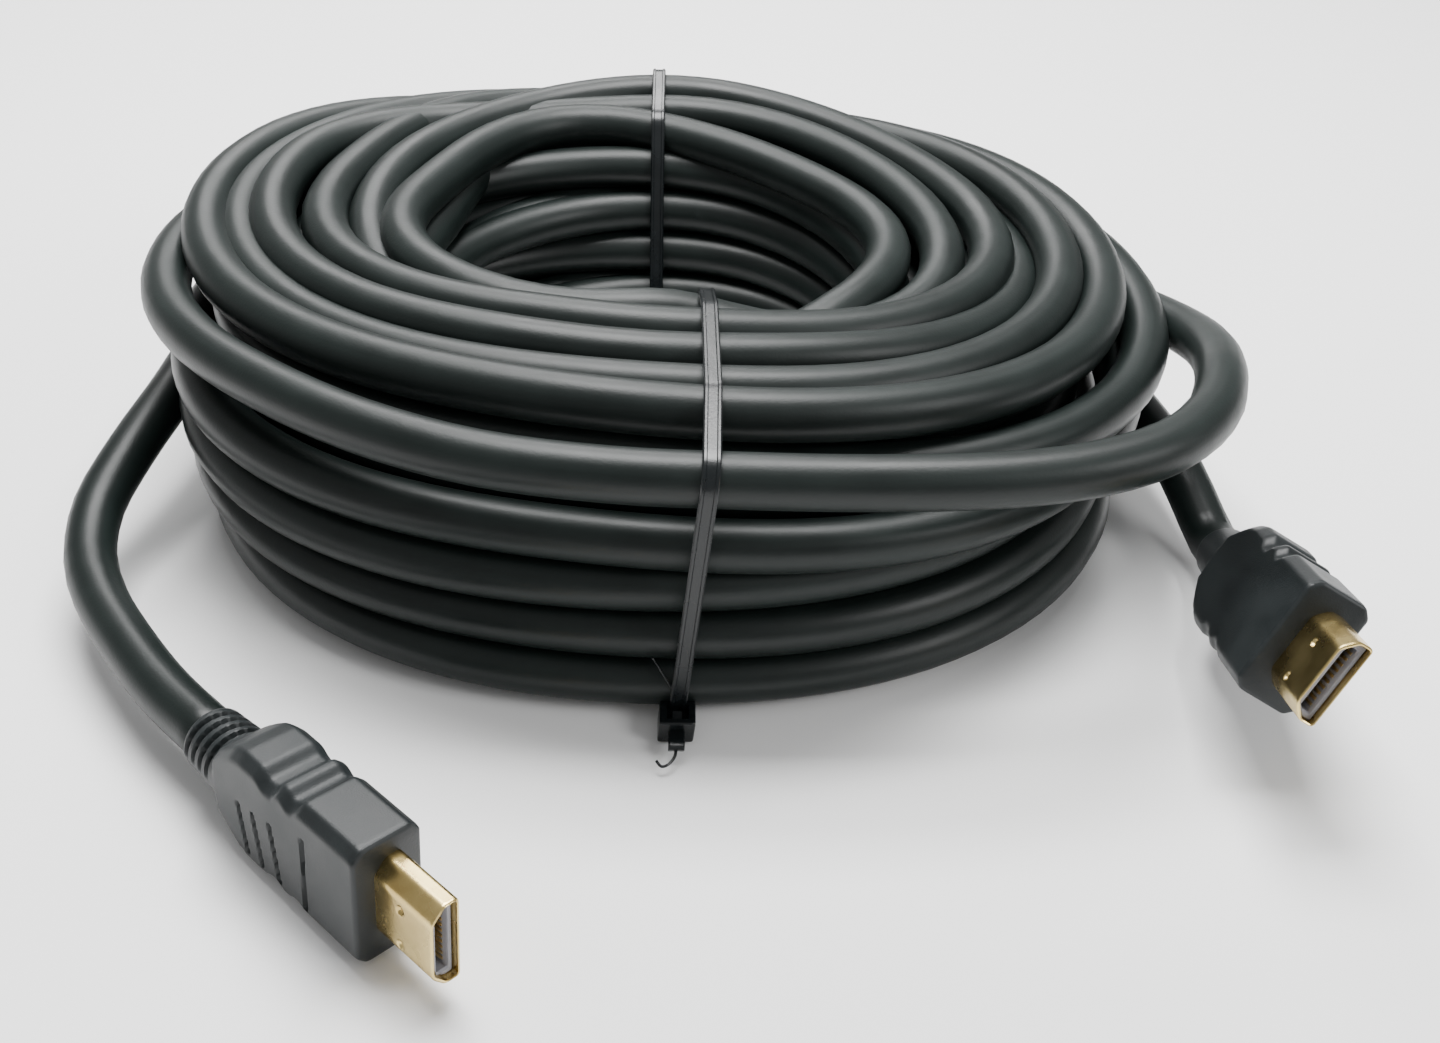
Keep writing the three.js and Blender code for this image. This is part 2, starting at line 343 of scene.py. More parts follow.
# The tube's rings of points lie about this far apart, in metres.
RING_STEP = 0.0045
MIDDLE = (-4.0, 4.0)
LOW_TURN = 5.8
# Each turn is given at this many angles, and at these of them it lies to the right or at the back.
PLACES = 12
RIGHT_AND_BACK = (0, 1, 2, 3, 11)

# Outermost and innermost turn of each wound layer, from the floor up, at 0, 30, ... 330 degrees
# round the middle: 0 is +X, 90 the back, 270 the front.
OUTER = [
    [83, 80, 76, 73.5, 74, 76, 77.5, 75.5, 71.2, 68.8, 73.9, 81.2],
    [81, 79, 75.5, 73.5, 74.5, 77, 80, 76.5, 69.5, 67, 72.3, 78.8],
    [79, 77, 74.5, 73, 74.5, 78, 81, 77, 69, 65.5, 69.6, 75.5],
    [84.5, 81.5, 75.5, 73, 75, 79, 81.5, 76, 67.5, 65, 73, 82.5],
    [88.3, 85.5, 77, 72, 75, 77, 74, 66, 56, 52, 64, 82],
]
INNER = [
    [42, 42, 41, 38, 38, 40, 42, 36, 30, 28, 31, 37],
    [42, 43, 43, 41.5, 41, 42, 43, 35, 28, 26, 29, 36],
    [42, 44, 46, 45, 44, 44, 43, 34, 26, 24, 28, 36],
    [42, 45, 48, 48.5, 47, 45, 43, 33, 25, 23, 27, 36],
    [43, 46, 50, 52, 50, 46, 43, 32, 24, 22, 27, 37],
]
PITCH = [7.35, 7.45, 7.6, 7.8, 7.95, 8.05, 8.1, 8.1, 8.05, 8.05, 7.8, 7.5]

# The turns on top, each (distance from the middle, height) at the same twelve angles.
TOP = {
    "rim": [(43.5, 41), (45, 41.5), (50, 42), (54, 43), (53, 44), (49, 45), (44, 45.5), (33, 45),
            (25.5, 44.5), (22.6, 44), (24, 43), (33, 41.5)],
    "second": [(53.5, 42), (55, 42.5), (60, 43.5), (64, 44.8), (63, 45), (55, 44.5), (50, 44), (40, 38),
               (30, 38), (30, 38), (32, 37.5), (38, 38)],
    "third": [(62.6, 42.5), (64, 43), (68, 44), (73, 45.5), (70, 45), (64, 45.8), (58, 46), (42, 46.3),
              (32, 46.3), (31, 46), (34, 45), (45, 43)],
    "fourth": [(67.6, 38.5), (68, 38.5), (71, 39), (74, 39), (78, 44), (74, 46.5), (67, 46.5), (51, 46.5),
               (40.5, 46.5), (39, 46), (43, 45), (54, 42.5)],
    "fifth": [(73.8, 43), (74, 42.6), (76, 41), (77, 37), (82, 41), (80, 44), (73, 44.5), (58, 44.5),
              (48.5, 45), (47.4, 45.3), (52, 44.5), (64.5, 42.6)],
    "sixth": [(81.2, 41.2), (80.5, 41), (79.5, 38.8), (79, 36), (85, 42), (84, 45.5), (79, 46), (65, 46.5),
              (55, 46.5), (55.7, 47), (61.5, 45.8), (73.5, 42.6)],
    "seventh": [(88, 26), (88, 27), (85, 30.5), (79, 34), (82, 38), (84, 41), (83, 43), (70, 41),
                (60, 40), (58, 40), (67.5, 39.5), (82, 39.6)],
}

# The runs that lie free of the wound turns, point by point.
OUTER_TURN = [
    (80.8, 28.5, 26.5), (88, 13, 30), (92, -3, 34.3), (91.8, -18.5, 39), (88, -34.5, 43), (83, -46, 44),
    (74, -55.5, 44.3), (62, -61, 44), (47, -64, 43.9), (29, -65.2, 44), (10, -65.3, 44.2),
    (-9, -64.3, 44.3), (-28.3, -60.5, 44.3), (-46.3, -52.5, 44.2), (-62.5, -41, 43.8),
    (-75.5, -28.3, 43.2), (-84.5, -14, 42.5), (-88.5, 2, 41.8), (-87, 20, 41), (-78.5, 40, 39.5),
    (-64.5, 57, 38),
]
# The same turn goes on, down the outside of the coil's back to the floor.
DOWN_THE_BACK = [
    (-47, 71, 35.5), (-27, 80.5, 31), (-4, 84.5, 25), (18, 83.5, 18), (38, 76.5, 12), (56, 63, 7.2),
]
LEFT_TAIL = [
    (-77, -71.5, 9.5), (-84.5, -62, 9.7), (-91.3, -52, 10), (-95.5, -43, 11), (-96.8, -32, 13.5),
    (-94, -20, 17), (-90.5, -6, 19.5), (-88, 10, 21), (-84.2, 28, 21.5), (-76.3, 44.7, 22),
]
RIGHT_TAIL = [(80.8, 26.2, 13.8), (86.5, 12, 13.5), (90.5, -3, 13), (92.5, -17, 12.5)]

PLUGS = {
    "left": {"at": (-36, -112.4, 10.9), "yaw": -0.78, "nose": 0.03, "roll": -0.1},
    "right": {"at": (92.6, -77.1, 23.6), "yaw": -1.638, "nose": 0.332, "roll": -0.498},
}
MOULD_LEN, RELIEF_LEN = 33.0, 9.5
# How far the cable goes into the boot, and how far it runs straight before it.
CABLE_SUNK, LEAD_IN = 2.7, 8


def plug_frame(side):
    """The plug's own frame in the coil's frame: +X to the tip from the moulding's front face, +Z across."""
    pose = PLUGS[side]
    turn = (
        Matrix.Rotation(pose["yaw"], 4, "Z")
        @ Matrix.Rotation(-pose["nose"], 4, "Y")
        @ Matrix.Rotation(pose["roll"], 4, "X")
    )
    return Matrix.Translation(Vector(pose["at"])) @ turn


def plug_entry(side):
    """The cable's last two points on its way into a plug."""
    back = -MOULD_LEN - RELIEF_LEN
    return [plug_frame(side) @ Vector((x, 0, 0)) for x in (back - LEAD_IN, back + CABLE_SUNK)]


def layer_turn(layer, column, columns=5):
    """A wound turn as (distance from the middle, height) at the twelve angles."""
    share = column / (columns - 1)
    return [
        (INNER[layer][i] + (OUTER[layer][i] - INNER[layer][i]) * share, LOW_TURN + PITCH[i] * layer)
        for i in range(PLACES)
    ]


# The order in which the cable takes the top's turns: a column for right and back, one for front and left.
TOP_WAY = [
    ("fourth", "fourth"), ("second", "rim"), ("rim", "second"), ("third", "third"), ("fifth", "fifth"),
    ("sixth", "sixth"), ("seventh", "seventh"),
]


def top_turn(right, left):
    """A turn of the top whose right and back come from one column, and its front and left from another."""
    return [TOP[right if i in RIGHT_AND_BACK else left][i] for i in range(PLACES)]


# A turn changes into the next one round this angle, over this many degrees. The turns that climb the
# hole's wall do it at the front, where the wall can't be seen, and all others at the back.
BACK_CHANGE, FRONT_CHANGE, CHANGE_SPAN = 118, 262, 76
# At least this many degrees lie between two changes, and this many after the last one.
CHANGES_APART, AFTER_CHANGES = 200, 40
# The angles at which the two wound runs start, and the one at which each of them ends.
UPPER_START, FLOOR_START, WOUND_END = 120, 20, 36


def at_angle(turn, degrees):
    """A turn's (distance, height) at any angle, on a smooth closed curve near its twelve places.

    The curve is a sum of waves. Those with more than four crests in a turn are left out."""
    waves = np.fft.rfft(np.array(turn, float), axis=0) / len(turn)
    k = np.arange(len(waves))
    share = np.where(k == 0, 1.0, np.where(k < 4, 2.0, np.where(k == 4, 1.2, 0.0)))
    turned = waves * (share * np.exp(1j * k * math.radians(degrees)))[:, None]
    return tuple(turned.real.sum(axis=0))


def wound(turns, start, end, step=10):
    """Points along turns in order, from angle start on the first to angle end on the last.

    Each turn is (its twelve places, the angle where it changes into the next)."""
    out = []
    changes, low = [], start
    for _, change in turns[:-1]:
        low = low - (low - change) % 360 if not changes else low - 360 + (change - low) % 360
        if changes and changes[-1] - low < CHANGES_APART:
            low -= 360
        changes.append(low)
    last = (changes[-1] if changes else start) - AFTER_CHANGES
    last -= (last - end) % 360
    angle = start
    while angle >= last - 1e-6:
        k = sum(angle < c for c in changes)
        radius, height = at_angle(turns[k][0], angle)
        for j, c in enumerate(changes):
            if abs(angle - c) < CHANGE_SPAN / 2:
                t = 0.5 - (angle - c) / CHANGE_SPAN
                t = t * t * (3 - 2 * t)
                r0, h0 = at_angle(turns[j][0], angle)
                r1, h1 = at_angle(turns[j + 1][0], angle)
                radius, height = r0 + (r1 - r0) * t, h0 + (h1 - h0) * t
        a = math.radians(angle)
        out.append((MIDDLE[0] + radius * math.cos(a), MIDDLE[1] + radius * math.sin(a), height))
        angle -= step
    return out


def cable_route():
    """The cable from the left plug to the right one, in mm.

    The middle layers come first, then the turns on top, and the two layers on the floor last. The
    outermost column comes twice in a row where its turn has to go all the way round."""
    back, front = BACK_CHANGE, FRONT_CHANGE
    upper = [(layer_turn(2, c), back) for c in (4, 4, 3, 1)] + [(layer_turn(2, 0), front)]
    upper += [(layer_turn(3, c), back) for c in (0, 1, 2, 3, 4)]
    upper += [(layer_turn(4, c, 4), back) for c in (3, 2, 1, 0)]
    upper += [(top_turn(a, b), back) for a, b in TOP_WAY]
    floor_layers = [(layer_turn(0, c), back) for c in (4, 3, 2, 1)] + [(layer_turn(0, 0), front)]
    floor_layers += [(layer_turn(1, c), back) for c in (0, 1, 3, 4, 4)]
    points = list(reversed(plug_entry("left"))) + LEFT_TAIL
    points += wound(upper, UPPER_START, WOUND_END)
    points += OUTER_TURN + DOWN_THE_BACK
    points += wound(floor_layers, FLOOR_START, WOUND_END)
    points += RIGHT_TAIL + plug_entry("right")
    return points


route = [placed(p) for p in cable_route()]
cable_line = smooth_line(route, RING_STEP)
cable = tube("cable", cable_line, CABLE_D / 2 * MM, CABLE_SIDES, JACKET)


# Plugs.
# In a plug's own frame: +X to the tip from the moulding's front face, -Y the wide side with the
# narrow end of the shell, +Z across.
MOULD_T, MOULD_HALF = 10.8, 10
MOULD_EDGE = 1.5
MOULD_POINTS, SHELL_POINTS = 200, 144
# (distance back from the front face, half the height) of the moulding.
MOULD_OUTLINE = [
    (0, 9.4), (0.6, 10), (12.4, 10), (13.6, 8.95), (15, 8.95), (15.8, 9.9), (17.4, 9.9), (18.4, 8.55),
    (20.4, 8.55), (22, 9.8), (26, 9.85), (28.5, 9.2), (31, 7.5), (33, 5.9),
]
# The front rim is rounded in a few steps: (x, how much the half height gives).
MOULD_RIM = ((0.0, 0.65), (-0.12, 0.3), (-0.35, 0.08))
# On the lower side this share of a notch's depth is filled in, as far back as the notches go.
NOTCH_FILL, NOTCHES_END = 0.45, 27
BOOT_R, BOOT_TAPER, SHOULDER = 5.35, 0.06, 1.2
BOOT_SLOTS, BOOT_SLOT_SLANT, BOOT_SLOT_DEPTH = (-35.0, -36.9, -38.8, -40.7), 0.6, 0.75
SHELL_W, SHELL_T, SHELL_CHAMFER, SHELL_WALL, SHELL_LEN = 13.9, 4.45, (2.1, 1.9), 0.4, 11.8
INSULATOR_FRONT, INSULATOR_GAP = SHELL_LEN - 1.1, 0.06
# The slot in the insulator: its floor, its roof, half its width and how deep it goes.
SLOT_LOW, SLOT_HIGH, SLOT_HALF, SLOT_DEEP = -0.75, 0.9, 5.5, 8.5
CONTACT_PITCH, CONTACT_HALF, CONTACT_SUNK = 1.0, 0.22, 0.03
# Plain straight grooves in the wide side: (x, z) of each end, mm.
GROOVES = [((-27.2, 0.5), (-25.8, -7.4)), ((-23.6, 0.9), (-22.2, -7.2)), ((-19.4, 1.8), (-18.0, -7.6)),
           ((-11.5, 4.6), (-11.9, -8.0))]
GROOVE_DEPTH = 0.8
DIMPLES = [(5.3, 2.6), (5.1, -3.6)]
DIMPLE_DEPTH, DIMPLE_R = 0.55, 0.75


def rounded_outline(corners, radius, count):
    """count points round a closed outline, each corner taken off by an arc-like curve."""
    corners = [np.array(c, float) for c in corners]
    path = []
    for before, corner, after in zip(corners[-1:] + corners[:-1], corners, corners[1:] + corners[:1]):
        a, b = before - corner, after - corner
        cut = min(radius, np.linalg.norm(a) / 2.2, np.linalg.norm(b) / 2.2)
        start, end = corner + a / np.linalg.norm(a) * cut, corner + b / np.linalg.norm(b) * cut
        for t in np.linspace(0, 1, 6):
            path.append((1 - t) ** 2 * start + 2 * t * (1 - t) * corner + t * t * end)
    path = np.array(path + path[:1])
    run = np.concatenate([[0], np.cumsum(np.linalg.norm(np.diff(path, axis=0), axis=1))])
    at = np.linspace(0, run[-1], count, endpoint=False)
    return np.stack([np.interp(at, run, path[:, 0]), np.interp(at, run, path[:, 1])], axis=1)


def loft(name, rings, side, material, closed=False, sharp=35):
    """Rings of equal count in the plug's frame, joined in order; the ends are filled unless closed."""
    count = len(rings[0])
    matrix = plug_frame(side)
    points = [placed(matrix @ Vector(p)) for ring in rings for p in ring]
    n = len(rings)
    pairs = [(i, (i + 1) % n) for i in range(n if closed else n - 1)]
    faces = [
        (i * count + k, i * count + (k + 1) % count, j * count + (k + 1) % count, j * count + k)
        for i, j in pairs for k in range(count)
    ]
    if not closed:
        faces += [tuple(range(count))[::-1], tuple((n - 1) * count + k for k in range(count))]
    piece = piece_of(name, points, faces, material)
    tidy_normals(piece, sharp)
    return piece


def tidy_normals(piece, sharp):
    edit = bmesh.new()
    edit.from_mesh(piece.data)
    bmesh.ops.recalc_face_normals(edit, faces=edit.faces)
    edit.to_mesh(piece.data)
    edit.free()
    piece.data.set_sharp_from_angle(angle=math.radians(sharp))


def groove_depth(x, z):
    """How deep a plain groove is at (x, z) of the wide side."""
    deepest = 0.0
    for (x0, z0), (x1, z1) in GROOVES:
        run = np.array([x1 - x0, z1 - z0])
        t = np.clip(np.dot([x - x0, z - z0], run) / np.dot(run, run), 0, 1)
        away = math.hypot(x - x0 - run[0] * t, z - z0 - run[1] * t)
        deepest = max(deepest, GROOVE_DEPTH * (1 - min(1, max(0, (away - 0.28) / 0.24))))
    return deepest


def mould_ring(x, half, grooved, low=None):
    """The moulding's section: half is its reach up, low its reach down, where that differs."""
    edge, thick = MOULD_EDGE, MOULD_T / 2
    low = -(half if low is None else low)
    corners = [(thick, low + edge), (thick, half - edge), (thick - edge, half), (-thick + edge, half),
               (-thick, half - edge), (-thick, low + edge), (-thick + edge, low), (thick - edge, low)]
    ring = []
    for y, z in rounded_outline(corners, 0.5, MOULD_POINTS):
        if grooved and y < -thick + 0.02:
            y += groove_depth(x, z)
        ring.append((x, y, z))
    return ring


def boot_ring(x, radius, slotted=True):
    """The strain relief's section, with slots across its upper half."""
    ring = []
    for k in range(MOULD_POINTS):
        a = 2 * math.pi * (k + 0.5) / MOULD_POINTS - math.pi / 2
        y, z = math.cos(a), math.sin(a)
        r = radius
        for centre in BOOT_SLOTS:
            slant = centre + BOOT_SLOT_SLANT * y
            if slotted and z > -0.1:
                deep = 1 - min(1, max(0, (abs(x - slant) - 0.3) / 0.22))
                r -= BOOT_SLOT_DEPTH * deep * min(1, (z + 0.1) / 0.25)
        ring.append((x, r * y, r * z))
    return ring


def make_moulding(side):
    """The moulded body: the block with its notches, and the round boot, which has slots across its upper
    half on the left plug only.
    """
    grooved = side == "left"
    back = np.array([b for b, _ in MOULD_OUTLINE])
    halves = np.array([h for _, h in MOULD_OUTLINE])
    rings = []
    for x, take in MOULD_RIM:
        ring = mould_ring(x, MOULD_HALF - take, False)
        rings.append([(x, y * (1 - take / 6), z) for x, y, z in ring])
    for b in np.arange(0.6, MOULD_LEN - 0.01, 0.27):
        near = [np.interp(b + d, back, halves) for d in (-0.5, -0.25, 0, 0.25, 0.5)]
        half = float(np.mean(near))
        low = half + (MOULD_HALF - half) * NOTCH_FILL if b < NOTCHES_END else half
        rings.append(mould_ring(-b, half, grooved, low))
    last = np.array(mould_ring(-MOULD_LEN, halves[-1], False))
    boot_start = -MOULD_LEN - SHOULDER
    boot = np.array(boot_ring(boot_start, BOOT_R, False))
    # The block's rear turns into the round boot over a short, soft shoulder.
    start = np.argmin(np.linalg.norm(last[:, 1:] - boot[0, 1:] * 1.2, axis=1))
    last = np.roll(last, -start, axis=0)
    for ring in rings:
        ring[:] = [ring[(k + start) % MOULD_POINTS] for k in range(MOULD_POINTS)]
    rings.append([tuple(p) for p in last])
    for t in (0.25, 0.5, 0.75):
        ease = t * t * (3 - 2 * t)
        ring = last + (boot - last) * ease
        ring[:, 0] = -MOULD_LEN - SHOULDER * t
        rings.append([tuple(p) for p in ring])
    end = -MOULD_LEN - RELIEF_LEN
    for x in np.arange(boot_start, end + 0.6, -0.16):
        rings.append(boot_ring(x, BOOT_R - BOOT_TAPER * (boot_start - x), side == "left"))
    # The boot's end turns in and lies against the cable.
    for x, radius in ((end + 0.25, 4.8), (end, 4.6), (end, 4.25), (end + 2.4, 4.22)):
        rings.append(boot_ring(x, radius, False))
    return loft(f"plug_{side}_moulded_body", rings, side, MOULDING, sharp=50)


def shell_corners(grow):
    """The shell's section, narrow at the side where its two lower corners are cut off."""
    w, t = SHELL_W / 2 + grow, SHELL_T / 2 + grow
    cz, cy = SHELL_CHAMFER
    return [(t, -w), (t, w), (-t + cy, w), (-t, w - cz), (-t, -w + cz), (-t + cy, -w)]


def shell_ring(x, grow, dimpled=False):
    """A ring of the shell, or of what fits in it, with the dimples of its wide side."""
    ring = []
    for y, z in rounded_outline(shell_corners(grow), 0.8 + grow, SHELL_POINTS):
        if dimpled and y < -SHELL_T / 2 + 0.05:
            for dx, dz in DIMPLES:
                away = math.hypot(x - dx, z - dz)
                y += DIMPLE_DEPTH * max(0, 1 - (away / DIMPLE_R) ** 2)
        ring.append((x, y, z))
    return ring


def make_shell(side):
    """The folded shell, its outer side and then its inner one, joined over the front lip."""
    rings = [shell_ring(x, 0, True) for x in np.arange(-0.4, SHELL_LEN - 0.5, 0.2)]
    rings += [shell_ring(SHELL_LEN - 0.35, 0), shell_ring(SHELL_LEN - 0.12, -0.06),
              shell_ring(SHELL_LEN, -0.2), shell_ring(SHELL_LEN - 0.1, -0.36)]
    rings += [shell_ring(x, -SHELL_WALL) for x in (SHELL_LEN - 0.4, 8.0, 4.0, 0.0, -0.4)]
    return loft(f"plug_{side}_folded_shell", rings, side, GOLD, closed=True)


def slot_ring(x, low, high, half):
    corners = [(high, -half), (high, half), (low, half), (low, -half)]
    return [(x, y, z) for y, z in rounded_outline(corners, 0.25, SHELL_POINTS)]


def make_insulator(side):
    """The insulator that fills the shell, with the slot for the other part's tongue in its front."""
    front = INSULATOR_FRONT
    rings = [shell_ring(x, -SHELL_WALL - INSULATOR_GAP) for x in (0.2, 5.0, front - 0.2)]
    rings += [shell_ring(front, -SHELL_WALL - 0.25)]
    # The outline starts at another corner than the slot does, so the mouth's ring is turned to meet it.
    face = np.array(rings[-1])
    mouth = (front, SLOT_LOW - 0.2, SLOT_HIGH + 0.2, SLOT_HALF + 0.25)
    straight = [(front - back, SLOT_LOW, SLOT_HIGH, SLOT_HALF) for back in (0.3, SLOT_DEEP)]
    for section in (mouth, *straight):
        ring = np.array(slot_ring(*section))
        start = np.argmin(np.linalg.norm(ring[:, 1:] - face[0, 1:] * 0.8, axis=1))
        rings.append([tuple(p) for p in np.roll(ring, -start, axis=0)])
    return loft(f"plug_{side}_slotted_insulator", rings, side, INSULATOR)


def make_contacts(side):
    """Ten contacts in one wall of the slot and nine in the other, half a pitch apart."""
    matrix = plug_frame(side)
    front = INSULATOR_FRONT
    points, faces = [], []
    section = [(front - 8.3, 0.0), (front - 8.3, 0.18), (front - 2.6, 0.34), (front - 1.4, 0.30),
               (front - 0.9, 0.12), (front - 0.9, 0.0)]
    for wall, facing, count in ((SLOT_HIGH, -1, 10), (SLOT_LOW, 1, 9)):
        for k in range(count):
            z = (k - (count - 1) / 2) * CONTACT_PITCH
            base = len(points)
            for dz in (-CONTACT_HALF, CONTACT_HALF):
                for x, rise in section:
                    y = wall + facing * (rise - CONTACT_SUNK)
                    points.append(placed(matrix @ Vector((x, y, z + dz))))
            n = len(section)
            faces += [tuple(base + i for i in range(n)), tuple(base + n + i for i in reversed(range(n)))]
            for i in range(n):
                j = (i + 1) % n
                faces.append((base + i, base + n + i, base + n + j, base + j))
    piece = piece_of(f"plug_{side}_contacts", points, faces, CONTACT)
    tidy_normals(piece, 30)
    return piece


on_cable = []
for side in ("left", "right"):
    body, shell = make_moulding(side), make_shell(side)
    insulator, contacts = make_insulator(side), make_contacts(side)
    for piece, node, slot_name in (
        (body, f"plug_{side}_moulding", "mould"),
        (shell, f"plug_{side}_shell", "shell"),
        (insulator, f"plug_{side}_insulator", "insulator"),
    ):
        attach(piece, "root")
        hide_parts(node)
    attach(contacts, "root")
    on_cable += [body, shell, insulator, contacts]

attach(cable, "root")
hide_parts("coil", "outer_turn", "left_tail", "right_tail")

# Ties.
TIE_W, TIE_T = 2.7, 1.1
TIE_SNUG = 0.12
# Nothing further from the middle line than this belongs to the coil.
COIL_REACH = 98
# A head's reach outwards, its width across the tie and its height, and how far the strap sits in it.
HEAD_SIZE, HEAD_OVERLAP = (5.4, 5.6, 4.2), 0.7
# Where the strap's cut end starts: outwards from the strap, and up from the foot.
STUB_OUT, STUB_UP = 4.2, 2.1
# Each tie's plane: its x at the floor, and how far it leans to the right for each mm of height.
FRONT_PLANE, BACK_PLANE = (1.0, 0.095), (-3.6, 0.0)


def across_at(plane, height):
    """A tie's x in the coil's frame at a height, or at an array of them."""
    floor_x, lean = plane
    return floor_x + lean * height


def crossings(plane, facing):
    """Where the cable's centre line passes a tie's plane, as (outwards, height), mm."""
    shift = np.array(SHIFT)
    line = cable_line / MM - shift
    off = line[:, 0] - across_at(plane, line[:, 2])
    found = []
    for i in np.nonzero(off[:-1] * off[1:] <= 0)[0]:
        t = off[i] / (off[i] - off[i + 1])
        point = line[i] + (line[i + 1] - line[i]) * t
        if (point[1] - COIL_AT[1]) * facing > 0 and abs(point[1]) < COIL_REACH:
            found.append((point[1] * facing, point[2]))
    return found


def hull_of(points):
    """Convex outline of points, counter-clockwise."""
    points = sorted(set(points))

    def half(run):
        out = []
        for p in run:
            while len(out) > 1 and ((out[-1][0] - out[-2][0]) * (p[1] - out[-2][1])
                                    - (out[-1][1] - out[-2][1]) * (p[0] - out[-2][0])) <= 0:
                out.pop()
            out.append(p)
        return out[:-1]

    return half(points) + half(points[::-1])


def strap_path(plane, facing):
    """The strap's middle line: the tight outline of the turns that it goes round."""
    radius = CABLE_D / 2 + TIE_SNUG + TIE_T / 2
    around = [
        (o + radius * math.cos(a), z + radius * math.sin(a))
        for o, z in crossings(plane, facing)
        for a in np.arange(36) * math.pi / 18
    ]
    outline = np.array(hull_of(around))
    outline = np.vstack([outline, outline[:1]])
    run = np.concatenate([[0], np.cumsum(np.linalg.norm(np.diff(outline, axis=0), axis=1))])
    at = np.linspace(0, run[-1], 360, endpoint=False)
    return np.stack([np.interp(at, run, outline[:, 0]), np.interp(at, run, outline[:, 1])], axis=1)


def band(name, path, plane, facing, closed, width=TIE_W, thick=TIE_T):
    """A flat strap along a path of (outwards, height), its width across the tie's plane."""
    n = len(path)
    ahead = np.roll(path, -1, axis=0) - np.roll(path, 1, axis=0)
    if not closed:
        ahead[0], ahead[-1] = path[1] - path[0], path[-1] - path[-2]
    ahead /= np.linalg.norm(ahead, axis=1)[:, None]
    out = np.stack([ahead[:, 1], -ahead[:, 0]], axis=1)
    half, t, cut = width / 2, thick / 2, 0.22
    # The strap's sides are raised rims with a shallow channel between them on the outer face.
    section = [(-half, -t + cut), (-half + cut, -t), (half - cut, -t), (half, -t + cut), (half, t - cut),
               (half - cut, t), (half - 0.55, t), (half - 0.7, t - 0.16), (-half + 0.7, t - 0.16),
               (-half + 0.55, t), (-half + cut, t), (-half, t - cut)]
    points = []
    for p, o in zip(path, out):
        for across, rise in section:
            q = p + o * rise
            points.append(placed((across_at(plane, q[1]) + across, q[0] * facing, q[1])))
    m = len(section)
    faces = [
        (i * m + k, i * m + (k + 1) % m, (i + 1) % n * m + (k + 1) % m, (i + 1) % n * m + k)
        for i in range(n if closed else n - 1) for k in range(m)
    ]
    if not closed:
        faces += [tuple(range(m))[::-1], tuple((n - 1) * m + k for k in range(m))]
    piece = piece_of(name, points, faces, TIE)
    tidy_normals(piece, 32)
    return piece


def make_head(name, plane, facing, outer, low):
    """The tie's head: a rounded block with a recess in its top and the pawl standing in it."""
    length, width, height = HEAD_SIZE
    edit = bmesh.new()
    bmesh.ops.create_cube(edit, size=1.0)
    bmesh.ops.scale(edit, vec=(width, length, height), verts=edit.verts)
    bmesh.ops.bevel(edit, geom=list(edit.edges), offset=0.55, segments=3, affect="EDGES", profile=0.6)
    edit.faces.ensure_lookup_table()
    top = max(edit.faces, key=lambda f: (round(f.calc_center_median().z, 4), f.calc_area()))
    for rim, deep in ((0.75, 0.0), (0.12, -0.35), (0.05, -1.6)):
        bmesh.ops.inset_region(edit, faces=[top], thickness=rim, depth=deep)
    pawl = bmesh.ops.create_cube(edit, size=1.0)["verts"]
    bmesh.ops.scale(edit, vec=(1.5, 1.5, 1.3), verts=pawl)
    for vert in pawl:
        vert.co.z += height / 2 - 1.3
        if vert.co.y > 0:
            vert.co.z -= 0.5
    mesh = bpy.data.meshes.new(name)
    bmesh.ops.recalc_face_normals(edit, faces=edit.faces)
    edit.to_mesh(mesh)
    edit.free()
    middle = outer + length / 2
    for vert in mesh.vertices:
        x, y, z = vert.co
        z += low + height / 2
        vert.co = placed((across_at(plane, z) + x, (middle + y) * facing, z))
    mesh.materials.append(TIE)
    mesh.shade_smooth()
    mesh.set_sharp_from_angle(angle=math.radians(35))
    piece = bpy.data.objects.new(name, mesh)
    bpy.context.scene.collection.objects.link(piece)
    return piece


def make_tie(where, plane, facing, stub):
    """The strap, the head at its foot and the strap's cut end, which is given back."""
    path = strap_path(plane, facing)
    strap = band(f"tie_{where}_strap", path, plane, facing, True)
    foot = float(path[path[:, 1] < 4][:, 0].max())
    low = float(path[:, 1].min()) - TIE_T / 2
    low = max(low, -float(SHIFT[2]) + 0.05)
    head = make_head(f"tie_{where}_head", plane, facing, foot - HEAD_OVERLAP, low)
    run = [(foot + STUB_OUT + u, low + STUB_UP + rise) for u, rise in stub]
    run = np.array([tuple(v)[:2] for v in smooth_line([(a, b, 0.0) for a, b in run], 0.4)])
    end = band(f"tie_{where}_cut_end", run, plane, facing, False, width=TIE_W - 0.2, thick=0.95)
    for piece in (strap, head, end):
        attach(piece, "root")
        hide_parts(f"cable_tie_{where}")
    return end


front_cut_end = make_tie("front", FRONT_PLANE, -1, [(0, 0), (1.5, 0.1), (3.2, 0.2), (4.0, -0.2)])


def burr(name, start, steps, width):
    """A thread of nylon left where the strap was cut or scraped: start in metres, steps in mm from it."""
    line = smooth_line([start + Vector(step) * MM for step in steps], 0.0004)
    thread = tube(name, line, width / 2 * MM, 6, TIE)
    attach(thread, "root")


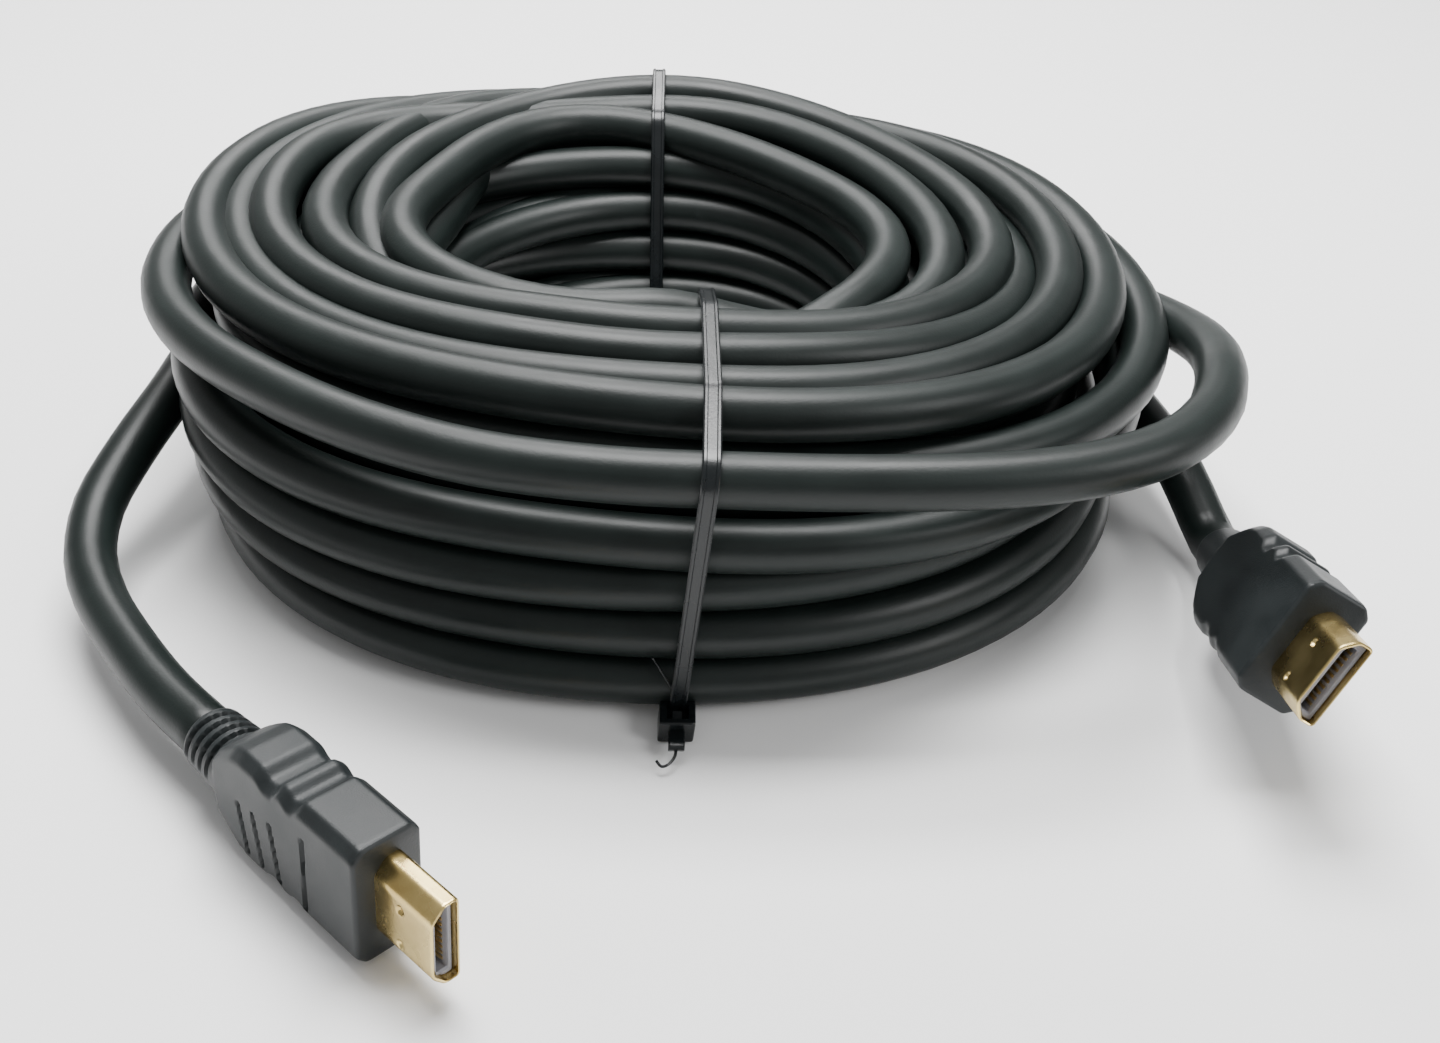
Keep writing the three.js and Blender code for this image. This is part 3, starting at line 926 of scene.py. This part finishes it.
# The last ring of the cut end is its outer face.
cut_face = [v.co for v in front_cut_end.data.vertices][-12:]
cut_middle = sum(cut_face, Vector()) / len(cut_face)
burr("tie_front_curl", cut_middle,
     [(0, 0.5, 0), (-0.2, -1.0, -0.2), (-1.2, -2.4, -0.5), (-2.2, -2.8, -0.5), (-3.0, -2.0, -0.1)], 0.5)
burr("tie_front_sliver", placed((1.2, -69.6, 6.4)),
     [(0, 0, 0), (-1.4, 0.6, 2.2), (-2.8, 1.2, 4.6), (-3.8, 1.0, 6.8)], 0.35)
make_tie("back", BACK_PLANE, 1, [(0, 0), (1.5, 0.0), (3.0, 0.1), (4.2, 0.0)])

# Floor and light.
FLOOR_HALF = 3.0
WORLD_STRENGTH = 0.45


def make_floor():
    """A pale floor under the lowest point."""
    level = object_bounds()[0][2]
    points = [(x * FLOOR_HALF, y * FLOOR_HALF, level) for x, y in ((-1, -1), (1, -1), (1, 1), (-1, 1))]
    white = bpy.data.materials.new("pale_floor")
    white.use_nodes = True
    shader = white.node_tree.nodes["Principled BSDF"]
    shader.inputs["Base Color"].default_value = (0.93, 0.93, 0.93, 1)
    shader.inputs["Roughness"].default_value = 0.75
    floor = piece_of("floor", points, [(0, 1, 2, 3)], white)


def soft_light(name, at, aim, size, power):
    data = bpy.data.lights.new(name, "AREA")
    data.shape, data.size, data.size_y = "RECTANGLE", *size
    data.energy = power
    light = bpy.data.objects.new(name, data)
    light.location = at
    light.rotation_euler = (Vector(aim) - Vector(at)).to_track_quat("-Z", "Y").to_euler()
    bpy.context.scene.collection.objects.link(light)


def make_world():
    world = bpy.data.worlds.new("studio")
    world.use_nodes = True
    background = world.node_tree.nodes["Background"]
    background.inputs["Color"].default_value = (1, 1, 1, 1)
    background.inputs["Strength"].default_value = WORLD_STRENGTH
    bpy.context.scene.world = world


make_floor()
soft_light("overhead", (0.0, 0.18, 0.62), (0, 0, 0.03), (0.42, 0.30), 11.0)
soft_light("behind", (-0.20, 0.95, 0.70), (0, 0, 0.03), (0.6, 0.3), 8.0)
soft_light("side", (0.9, -0.5, 0.7), (0, 0, 0.02), (0.4, 0.4), 6.0)
make_world()
